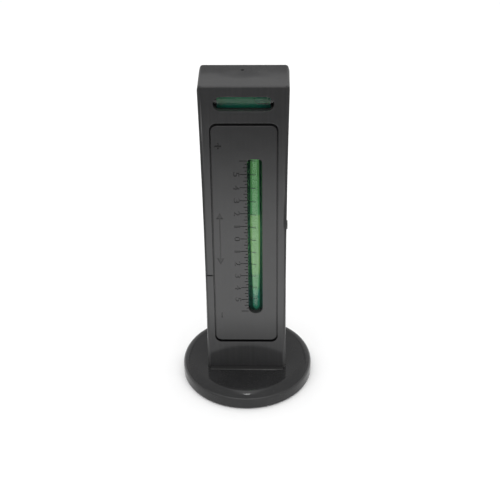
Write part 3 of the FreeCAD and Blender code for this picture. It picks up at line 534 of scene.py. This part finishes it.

# %% [markdown]
# ## Black plastic
#
# The plastic is not a flat black. The tool that cut the mould left fine upright streaks, the
# thick walls sank into shallow waves as they cooled, and a little dust sits on it. A painted
# texture could show all this, but noise in object coordinates needs no unwrapping and keeps
# its scale on every part. The panels are a little darker than the column. Their sunk figures
# and the seam round them are painted darker still, as the shade that falls in those recesses.

# %% Black plastic
def black_plastic(name, tone, streaks, dished=False):
    """Streaked black plastic; the column's also has its dish, seam, lip and scuffs."""
    recipe = Finish(name)
    grain = recipe.noise(0.16, 2.0)
    drag = recipe.noise(1.0, 3.0, recipe.stretch(1.0, 1.0, 0.02))
    patch = recipe.noise(14, 3.0)
    sink = recipe.noise(11, 1.0, recipe.stretch(1.0, 1.0, 0.6))
    shade = tone * (0.8 + streaks * (drag - 0.5) + 0.35 * patch + 0.1 * grain)
    dusty = recipe.ease(recipe.noise(0.35, 1.0), 0.72, 0.8, 0.0, 0.25)
    colour = recipe.tone(shade, 1.02)
    colour = recipe.blend(dusty, colour, grey(0.12))
    normal = recipe.bump(sink, 0.14)
    normal = recipe.bump(drag, 0.004, onto=normal)
    normal = recipe.bump(grain, 0.001, onto=normal)
    if dished:
        on_top = recipe.axis("Z") > TOP_HEIGHT - 0.4 * MM
        normal = recipe.lean(on_top, normal, recipe.bump(sink_dish(recipe), 0.25, onto=normal))
        colour = recipe.blend(in_the_seam(recipe), colour, grey(0.006))
        colour = lip_colour(recipe, colour)
    rough = 0.07 + 0.08 * patch + 0.05 * drag
    if dished:
        rough = rough + 0.4 * scuffed_foot(recipe)
    print(name, "has a base tone of", tone)
    return recipe.done(recipe.surface(base_color=colour, roughness=rough, normal=normal))


column_black = black_plastic("moulded_black_column", tone=0.036, streaks=0.35, dished=True)
panel_black = black_plastic("moulded_black_panel", tone=0.033, streaks=0.1)
# The next two finishes are painted shade, for the floors of sunk figures and the panel seams.
figure_painted_shade = black_plastic("sunk_figure_black", tone=0.014, streaks=0.0)
seam_black = black_plastic("shaded_seam_black", tone=0.009, streaks=0.0)

# %% [markdown]
# ## The painted steel cup
#
# The cup of the magnet base is drawn steel with a baked black coat. It is smoother than the
# plastic, so it mirrors the foot of the column. A coat layer could be put over a duller base,
# but one low roughness with a faint orange peel bump already gives the sharp highlight.

# %% Black paint
def cup_paint():
    recipe = Finish("baked_black_paint")
    peel = recipe.noise(0.9, 2.0)
    patch = recipe.noise(9, 3.0)
    fine = recipe.noise(0.2, 2.0)
    shade = 0.014 + 0.012 * patch
    speck = recipe.ease(recipe.noise(0.5, 2.0), 0.68, 0.75, 0.0, 0.3)
    colour = recipe.tone(shade, 1.03)
    colour = recipe.blend(speck, colour, grey(0.09))
    normal = recipe.bump(peel, 0.01)
    normal = recipe.bump(fine, 0.002, onto=normal)
    rough = 0.05 + 0.09 * patch
    return recipe.done(recipe.surface(base_color=colour, roughness=rough, normal=normal))


cup_black = cup_paint()
print("paint has", len(cup_black.node_tree.nodes), "nodes")

# %% [markdown]
# ## Metals and the magnet
#
# The unseen side is worth finishing too: the underside shows a ferrite ring, a zinc plated
# core and a screw. Ferrite is a dull dark ceramic with a ground face. Zinc has a faint cloudy
# spangle.

# %% Ferrite, zinc and brass
def ferrite_finish():
    recipe = Finish("ground_ferrite")
    grain = recipe.noise(0.12, 3.0)
    grind = recipe.noise(0.25, 2.0, recipe.stretch(0.05, 1.0, 1.0))
    shade = 0.035 + 0.03 * grain + 0.02 * grind
    colour = recipe.tone(shade, 1.06)
    normal = recipe.bump(grind, 0.008)
    rough = 0.5 + 0.2 * grain
    return recipe.done(
        recipe.surface(base_color=colour, roughness=rough, metallic=0.3, normal=normal)
    )


def plated_finish(name, low, high, rough):
    recipe = Finish(name)
    cloud = recipe.noise(2.2, 4.0)
    fine = recipe.noise(0.1, 2.0)
    normal = recipe.bump(fine, 0.002)
    rough = rough + 0.15 * cloud
    tint = recipe.blend(cloud, low, high)
    return recipe.done(
        recipe.surface(base_color=tint, roughness=rough, metallic=1.0, normal=normal)
    )


ferrite = ferrite_finish()
zinc = plated_finish("zinc_plate", (0.42, 0.43, 0.45, 1.0), (0.66, 0.66, 0.65, 1.0), 0.24)
brass = plated_finish("turned_brass", (0.6, 0.4, 0.14, 1.0), (0.8, 0.58, 0.24, 1.0), 0.2)
print("metals:", [finish.name for finish in (ferrite, zinc, brass)])

# %% [markdown]
# ## Acrylic, spirit and air
#
# The vials are clear acrylic tubes full of green spirit with an air bubble in it. Real
# refraction is what makes the spirit look like a bright band with dark sides, so the materials
# bend light. A path tracer would leave the vial's bed black, because light seldom finds its way
# in through glass, so the glass lets shadow rays straight through. The level vial's acrylic
# shines less, as if handled, and its end plugs are tinted a deep teal. Its bubble bends light
# only a little, so that the bed shows through it.

# %% Clear materials
def let_shadows_through(recipe, shader):
    """Finish a clear material that shadow rays pass as if it were not there."""
    through = recipe.node("ShaderNodeBsdfTransparent", feeds={0: grey(1.0)})
    ray = recipe.node("ShaderNodeLightPath", out="Is Shadow Ray")
    return recipe.done(recipe.node("ShaderNodeMixShader", feeds={0: ray, 1: shader, 2: through}))


def clear_finish(name, tint, index, gloss=0.5):
    recipe = Finish(name)
    shader = recipe.surface(
        base_color=tint,
        roughness=0.0,
        ior=index,
        transmission_weight=1.0,
        specular_ior_level=gloss,
    )
    return let_shadows_through(recipe, shader)


def air_finish(name, index):
    """Seen from the spirit round it, air bends light as glass with an index below one."""
    recipe = Finish(name)
    feeds = {"Color": grey(1.0), "Roughness": 0.0, "IOR": index}
    return let_shadows_through(recipe, recipe.node("ShaderNodeBsdfGlass", feeds=feeds))


ACRYLIC_INDEX, SPIRIT_INDEX, FAINT_INDEX = 1.49, 1.36, 1.1
HARDLY_TINTED, DEEP_TEAL = (0.97, 0.99, 0.975, 1.0), (0.1, 0.26, 0.24, 1.0)
acrylic = clear_finish("clear_acrylic", HARDLY_TINTED, ACRYLIC_INDEX)
dull_acrylic = clear_finish("clear_acrylic_handled", HARDLY_TINTED, ACRYLIC_INDEX, gloss=0.2)
dyed_acrylic = clear_finish("dyed_acrylic", DEEP_TEAL, ACRYLIC_INDEX, gloss=0.2)
spirit = clear_finish("green_spirit", (0.5, 0.95, 0.52, 1.0), SPIRIT_INDEX)
air = air_finish("trapped_air", 1 / SPIRIT_INDEX)
faint_air = air_finish("trapped_air_small", 1 / FAINT_INDEX)
print("air bends light by", round(1 / SPIRIT_INDEX, 3), "as seen from the spirit")

# %% [markdown]
# ## The cradle
#
# Both long vials lie in one cradle, a very dark slate blue. A narrow pale line is printed
# along the bed of each channel, and the round vial magnifies it to a band more than twice as
# wide, which is what makes the bubble easy to read. The line could be a thin strip, but it has
# no thickness of its own, so it is a mask in the cradle's material. Its colour along its height,
# darker and bluer near the foot and pale through the middle, is painted light and shade, and so
# is its brightening towards its edges. Little light comes in through slot and glass, so the line
# and the channel's sides are given a little emission as well.

# %% Cradle with its pale lines
VIAL_ASIDE = frame["joints"][0]["pos_m"][0]
LINE_HALF = (0.37 * MM, 0.68 * MM)
LINE_EDGE, LINE_SHADE = 0.03 * MM, 0.45 * MM
LINE_START, LINE_WIDENS = (31.0 * MM, 33.0 * MM), (33.0 * MM, 72.0 * MM)
LEAN_SPAN, LINE_LEAN = (45.0 * MM, 66.0 * MM), 0.05 * MM
DIM_SPAN, LINE_GLOW = (68.0 * MM, 78.0 * MM), 0.27
LINE_FOOT, LINE_HEAD = 30.0 * MM, 100.0 * MM
# Painted light and shade: the line is darker and bluer near the foot and pale through the middle.
LINE_COLOURS = [
    (34.0, (0.09, 0.36, 0.42, 1.0)),
    (40.4, (0.075, 0.35, 0.47, 1.0)),
    (41.6, (0.2, 0.42, 0.36, 1.0)),
    (47.6, (0.29, 0.5, 0.38, 1.0)),
    (48.6, (0.54, 0.62, 0.41, 1.0)),
    (54.0, (0.66, 0.7, 0.46, 1.0)),
    (73.7, (0.66, 0.7, 0.46, 1.0)),
    (74.2, (0.28, 0.5, 0.35, 1.0)),
    (81.0, (0.25, 0.46, 0.3, 1.0)),
    (92.0, (0.33, 0.48, 0.31, 1.0)),
]


def cradle_finish():
    recipe = Finish("cradle_black_with_line")
    height = recipe.axis("Z")
    aside = recipe.axis("X") + VIAL_ASIDE * recipe.maths("SIGN", recipe.axis("Y"))
    aside = aside + recipe.ease(height, *LEAN_SPAN, high=LINE_LEAN)
    half = recipe.ease(height, *LINE_START, high=LINE_HALF[0])
    half = half + recipe.ease(height, *LINE_WIDENS, high=LINE_HALF[1] - LINE_HALF[0])
    off_middle = abs(aside)
    line = recipe.ease(off_middle - half, -LINE_EDGE, LINE_EDGE, low=1.0, high=0.0)
    # Painted light: the line brightens towards its edges, making up for the shade the slot casts
    # there.
    painted_edge_light = recipe.ease(off_middle - half, -LINE_SHADE, 0.0, low=0.85, high=1.3)
    grain = recipe.noise(0.3, 2.0)
    span = LINE_HEAD - LINE_FOOT
    stops = [((z * MM - LINE_FOOT) / span, colour) for z, colour in LINE_COLOURS]
    climb = (height - LINE_FOOT) * (1 / span)
    ramp = recipe.node("ShaderNodeValToRGB", {"stops": stops}, {0: climb})
    pale = recipe.scaled(ramp, painted_edge_light)
    dark = recipe.blend(grain, (0.09, 0.15, 0.22, 1.0), (0.12, 0.2, 0.27, 1.0))
    dark = recipe.scaled(dark, recipe.ease(height, *DIM_SPAN, low=1.0, high=0.35))
    colour = recipe.blend(line, dark, recipe.scaled(pale, 0.32))
    glow = recipe.blend(line, recipe.scaled(dark, 0.3), pale)
    return recipe.done(
        recipe.surface(
            base_color=colour,
            roughness=0.55 + 0.1 * grain,
            specular_ior_level=0.25,
            emission_color=glow,
            emission_strength=LINE_GLOW,
        )
    )


cradle_paint = cradle_finish()
print("line is", [round(2 * half / MM, 2) for half in LINE_HALF], "mm wide at foot and head")

# %% [markdown]
# ## The level vial's bed
#
# The short vial lies against the retainer, which is pushed in from the back. Its bed is
# painted blue green, darker towards the ends, and shows through the spirit. It could be a
# painted slip of its own, but a mask on the retainer does the same. It has a little emission
# too, for the same reason as the line.

# %% Level vial bed
BED_DEPTH, BED_HALF, BED_ENDS = 1.0 * MM, 9.4 * MM, (5.0 * MM, 9.0 * MM)
BED_GLOW = 0.12


def retainer_finish():
    recipe = Finish("retainer_black_with_bed")
    grain = recipe.noise(0.3, 2.0)
    bed = (recipe.axis("Y") < BED_DEPTH) * (abs(recipe.axis("X")) < BED_HALF)
    ends = recipe.ease(abs(recipe.axis("X")), *BED_ENDS)
    dark = recipe.blend(grain, grey(0.03), grey(0.045))
    pale = recipe.blend(ends, (0.02, 0.22, 0.3, 1.0), (0.015, 0.12, 0.17, 1.0))
    colour = recipe.blend(bed, dark, pale)
    glow = recipe.blend(bed, grey(0.0), pale)
    return recipe.done(
        recipe.surface(
            base_color=colour,
            roughness=0.45 + 0.1 * grain,
            specular_ior_level=0.1,
            emission_color=glow,
            emission_strength=BED_GLOW,
        )
    )


retainer_paint = retainer_finish()
print("bed is", round(2 * BED_HALF / MM, 1), "mm long")

# %% [markdown]
# ## Finishes for the parts of the frame
#
# Most parts are shown just as they come from the frame, so all they need is a finish in place
# of the plain one. A finish could be chosen from the material that each part came with, but
# one material can look different from part to part, so they are listed by name. The parts that
# aren't listed are the other spirit, bubbles and acrylic.

# %% Give the parts their finishes
FINISHES = {
    "column_shell": column_black,
    "level_retainer": retainer_paint,
    "vial_cradle": cradle_paint,
    "magnet_cup": cup_black,
    "ring_magnet": ferrite,
    "pole_piece": zinc,
    "base_screw": zinc,
    "lock_washer": zinc,
    "threaded_insert": brass,
    "camber_panel": panel_black,
    "caster_panel": panel_black,
    "level_bubble": faint_air,
    "level_vial": dull_acrylic,
    "level_vial_left_plug": dyed_acrylic,
    "level_vial_right_plug": dyed_acrylic,
}


def finish_for(name):
    if name in FINISHES:
        return FINISHES[name]
    if name.endswith("liquid"):
        return spirit
    return air if name.endswith("bubble") else acrylic


for name, node in frame["nodes"].items():
    for slot in node.material_slots:
        slot.material = finish_for(name)
print(len(frame["nodes"]), "parts have a finish")

# %% [markdown]
# ## The panels
#
# Each panel carries a degree scale. The long, half and quarter marks are already in the CAD
# part. The numbers stand on their side beside the marks, and a long arrow with a plus and a
# minus shows the way the reading goes. Each is made as a flat outline and thickened into a
# cutter. The outlines could be drawn point by point, but for the numbers Blender's own font is
# quicker and just as plain.

# %% Outlines of the figures
SCALE_ZERO = frame["joints"][0]["pos_m"][2]
ARC_CENTRE = Vector(frame["joints"][0]["pos_m"])
ARC_RADIUS = 307.3 * MM
ARC_CROWN = ARC_CENTRE - Vector((0, ARC_RADIUS, 0))
DEGREE = ARC_RADIUS * math.radians(1)
SUNK = 0.2 * MM
CUTTER_DEPTH = 4 * SUNK
HALF_EXTRUDE, CURVE_STEPS, STROKE_WEIGHT = 0.5, 3, 0.012
FIGURE_RIGHT, SIGN_RIGHT = -2.82 * MM, -9.0 * MM
FIGURE_TALL, FIGURE_WIDE, ONE_WIDE = 2.15 * MM, 1.9 * MM, 0.9 * MM
ARROW_LONG, ARROW_HEAD, ARROW_SHAFT = 22 * MM, 2.6 * MM, 0.5 * MM
SIGN_WIDE, MINUS_TALL = 2.4 * MM, 0.55 * MM
PLUS_ABOVE, MINUS_BELOW = 38 * MM, 34 * MM
READ_DOWN = Matrix(((0, 1, 0, 0), (0, 0, -1, 0), (-1, 0, 0, 0), (0, 0, 0, 1)))


def sink_in(flat, tall, wide, x, z):
    """Turn an outline into a cutter this tall and wide, reading downwards on the front."""
    choose(flat)
    bpy.ops.object.convert(target="MESH")
    cutter = bpy.context.object
    corners = [Vector(corner) for corner in cutter.bound_box]
    low, high = corners[0], corners[6]
    size = high - low
    scale = Matrix.Diagonal((wide / size.x, tall / size.y, CUTTER_DEPTH / size.z, 1))
    middle = Matrix.Translation(-(low + high) / 2)
    place = Matrix.Translation((x, -FACE + SUNK - CUTTER_DEPTH / 2, z))
    return settle(cutter, place @ READ_DOWN @ scale @ middle)


def figure(text, tall, wide, x, z):
    bpy.ops.object.text_add()
    flat = bpy.context.object
    flat.data.body = text
    flat.data.extrude = HALF_EXTRUDE
    flat.data.resolution_u = CURVE_STEPS
    flat.data.offset = STROKE_WEIGHT
    return sink_in(flat, tall, wide, x, z)


def double_arrow(length, head, shaft, x, z):
    """A long arrow with a head at both ends, drawn as one flat outline."""
    half, tip, thin = length / 2, head / 2, shaft / 2
    neck = half - head
    side = [(-half, 0), (-neck, tip), (-neck, thin), (neck, thin), (neck, tip), (half, 0)]
    outline = side + [(along, -up) for along, up in side[-2:0:-1]]
    curve = bpy.data.curves.new("arrow_outline", "CURVE")
    curve.dimensions, curve.fill_mode, curve.extrude = "2D", "BOTH", HALF_EXTRUDE
    spline = curve.splines.new("POLY")
    spline.points.add(len(outline) - 1)
    for point, (along, up) in zip(spline.points, outline):
        point.co = (along / MM, up / MM, 0, 1)
    spline.use_cyclic_u = True
    flat = bpy.data.objects.new("arrow_outline", curve)
    bpy.context.scene.collection.objects.link(flat)
    return sink_in(flat, head, length, x, z)


def scale_cutters():
    """Every figure on one panel: five each way from zero, and the signed arrow."""
    cutters = []
    for step in range(-5, 6):
        wide = ONE_WIDE if abs(step) == 1 else FIGURE_WIDE
        height = SCALE_ZERO + step * DEGREE
        cutters.append(figure(str(abs(step)), FIGURE_TALL, wide, FIGURE_RIGHT, height))
    cutters.append(double_arrow(ARROW_LONG, ARROW_HEAD, ARROW_SHAFT, SIGN_RIGHT, SCALE_ZERO))
    cutters.append(figure("+", SIGN_WIDE, SIGN_WIDE, SIGN_RIGHT, SCALE_ZERO + PLUS_ABOVE))
    cutters.append(figure("-", MINUS_TALL, SIGN_WIDE, SIGN_RIGHT, SCALE_ZERO - MINUS_BELOW))
    for cutter in cutters:
        face_out(cutter)
    return join("scale_figures", cutters)


figures = scale_cutters()
print("figures span", [round(length / MM, 1) for length in figures.dimensions], "mm")

# %% [markdown]
# ## Sinking the figures
#
# The mould's own raised figures leave sunk ones in the plastic. A bump map would not show at
# their edges, so they are sunk by a boolean cut. The cut is told that its cutter may cross
# itself, because the outline of a thickened 4 does. The caster panel is the camber panel
# turned half way round, and so are its figures.

# %% Cut the figures
HALF_TURN = Matrix.Rotation(math.pi, 4, "Z")
SEAM_REACH, SEAM_LIP, SEAM_DEEP = 1.3 * MM, 0.25 * MM, 1.2 * MM
FIGURE_FLOOR, SEAM_WALL = 1, 2
SQUARE_ON = 0.99


def darken_sunk(panel):
    """Give the sunk marks' floors and the seam round the plate the darker finishes: painted shade.
    """
    side, foot, head = OPENING
    for polygon in panel.data.polygons:
        centre = polygon.center
        depth = FACE - abs(centre.y)
        level = abs(polygon.normal.y) > SQUARE_ON
        if 0.5 * SUNK < depth < 1.5 * SUNK and level:
            polygon.material_index = FIGURE_FLOOR
        off_rim = min(side - abs(centre.x), head - centre.z, centre.z - foot)
        if off_rim < SEAM_REACH and SEAM_LIP < depth < SEAM_DEEP:
            polygon.material_index = SEAM_WALL


def engraved_panel(node, name, cutters, place):
    """Cut the figures into a copy of a panel; weighted normals keep its flat face flat."""
    panel = merged_copy(node, name)
    tool = repeat(cutters, place)
    apply(panel, "BOOLEAN", object=tool, operation="DIFFERENCE", solver="EXACT", use_self=True)
    bpy.data.objects.remove(tool)
    face_out(panel)
    apply(panel, "WEIGHTED_NORMAL", weight=100, keep_sharp=True)
    panel.data.materials.clear()
    for finish in (panel_black, figure_painted_shade, seam_black):
        panel.data.materials.append(finish)
    darken_sunk(panel)
    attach(panel, "gauge")
    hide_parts(node)
    print(name, len(panel.data.polygons), "faces")


engraved_panel("camber_panel", "camber_scale_panel", figures, Matrix.Identity(4))
engraved_panel("caster_panel", "caster_scale_panel", figures, HALF_TURN)
bpy.data.objects.remove(figures)

# %% [markdown]
# ## The spirit
#
# In the frame the spirit has a trench along it, so that the bubble can travel without touching
# it. On show the trench would look like a scratch, so a full column of spirit takes its place.
# It is spun from a circle round the centre of the vial's own bend. The column is a hair wider
# than the bore: light then passes straight from acrylic to spirit, with no film of air between
# them to glitter.

# %% Columns of spirit
SPIRIT_RADIUS, SPIRIT_SIDES = 2.02 * MM, 64
LONG_BORE, LEVEL_BORE = 72.2 * MM, 18.2 * MM
BEND_STEPS, SMOOTH_BELOW = 60, 40
RING_WELD = 0.001 * MM


def swung(angle):
    """The turn by an angle about the centre of the vial's bend."""
    about = Matrix.Rotation(angle, 4, "X")
    return Matrix.Translation(ARC_CENTRE) @ about @ Matrix.Translation(-ARC_CENTRE)


def finish_spirit(column, name, node):
    face_out(column, SMOOTH_BELOW)
    column.name = column.data.name = name
    column.data.materials.append(spirit)
    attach(column, "gauge")
    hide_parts(node)
    print(name, [round(length / MM, 2) for length in column.dimensions])


def bent_column():
    """A round column spun about the centre of the vial's bend, from its lower end up."""
    half_angle = LONG_BORE / ARC_RADIUS / 2
    bpy.ops.mesh.primitive_circle_add(vertices=SPIRIT_SIDES, radius=SPIRIT_RADIUS)
    column = bpy.context.object
    settle(column, swung(half_angle) @ Matrix.Translation(ARC_CROWN))
    edit(column, "EDGE")
    bpy.ops.mesh.select_all(action="SELECT")
    bpy.ops.mesh.spin(steps=BEND_STEPS, angle=2 * half_angle, center=ARC_CENTRE, axis=(1, 0, 0))
    bpy.ops.mesh.select_all(action="SELECT")
    bpy.ops.mesh.remove_doubles(threshold=RING_WELD)
    bpy.ops.mesh.fill_holes(sides=0)
    close_edit()
    return column


def level_column():
    low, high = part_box("level_vial")
    bpy.ops.mesh.primitive_cylinder_add(
        vertices=SPIRIT_SIDES, radius=SPIRIT_RADIUS, depth=LEVEL_BORE, rotation=(0, math.pi / 2, 0)
    )
    return settle(bpy.context.object, Matrix.Translation((low + high) / 2))


camber_column = bent_column()
caster_column = repeat(camber_column, HALF_TURN)
finish_spirit(camber_column, "camber_spirit", "camber_liquid")
finish_spirit(caster_column, "caster_spirit", "caster_liquid")
finish_spirit(level_column(), "level_spirit", "level_liquid")

# %% [markdown]
# ## The lines on the vials
#
# At each whole degree a fine line is printed half way round the front of the long vial. One
# line is modelled as a slip of a very thin ring, and its copies are swung round the centre of
# the bend, a degree at a time.

# %% Printed lines
def ink_finish():
    recipe = Finish("black_ink")
    worn = recipe.noise(0.5, 2.0)
    tint = recipe.blend(worn, (0.006, 0.02, 0.014, 1.0), (0.02, 0.045, 0.03, 1.0))
    return recipe.done(recipe.surface(base_color=tint, roughness=0.4 + 0.2 * worn))


black_ink = ink_finish()
VIAL_RADIUS, RING_SIDES = 2.7 * MM, 180
LINE_WIDTH, LINE_THICK = 0.3 * MM, 0.015 * MM
LINE_PITCH, LINE_DROP, LINES_EACH_WAY = 0.985, 0.144, 6
LINE_FROM, LINE_TO = math.radians(-62), math.radians(8)


def unseen(centre):
    return not LINE_FROM < math.atan2(centre.x, -centre.y) < LINE_TO


def one_line():
    """The camber vial's zero line: the part of a ring that faces the slot, made thick."""
    outer = VIAL_RADIUS + LINE_THICK / 2
    bpy.ops.mesh.primitive_cylinder_add(
        vertices=RING_SIDES, radius=outer, depth=LINE_WIDTH, end_fill_type="NOTHING"
    )
    line = bpy.context.object
    settle(line)
    edit(line)
    pick_faces(line, unseen)
    bpy.ops.mesh.delete(type="FACE")
    close_edit()
    apply(line, "SOLIDIFY", thickness=LINE_THICK, offset=0)
    return settle(line, Matrix.Translation(ARC_CROWN))


def vial_lines():
    pattern = one_line()
    lines = []
    for step in range(-LINES_EACH_WAY, LINES_EACH_WAY + 1):
        lines.append(repeat(pattern, swung(-math.radians(LINE_PITCH * step - LINE_DROP))))
    bpy.data.objects.remove(pattern)
    return face_out(join("camber_vial_lines", lines))


def finish_lines(lines, name):
    lines.name = lines.data.name = name
    lines.data.materials.append(black_ink)
    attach(lines, "gauge")
    print(name, len(lines.data.polygons), "faces")


camber_lines = vial_lines()
caster_lines = repeat(camber_lines, HALF_TURN)
finish_lines(camber_lines, "camber_vial_lines")
finish_lines(caster_lines, "caster_vial_lines")
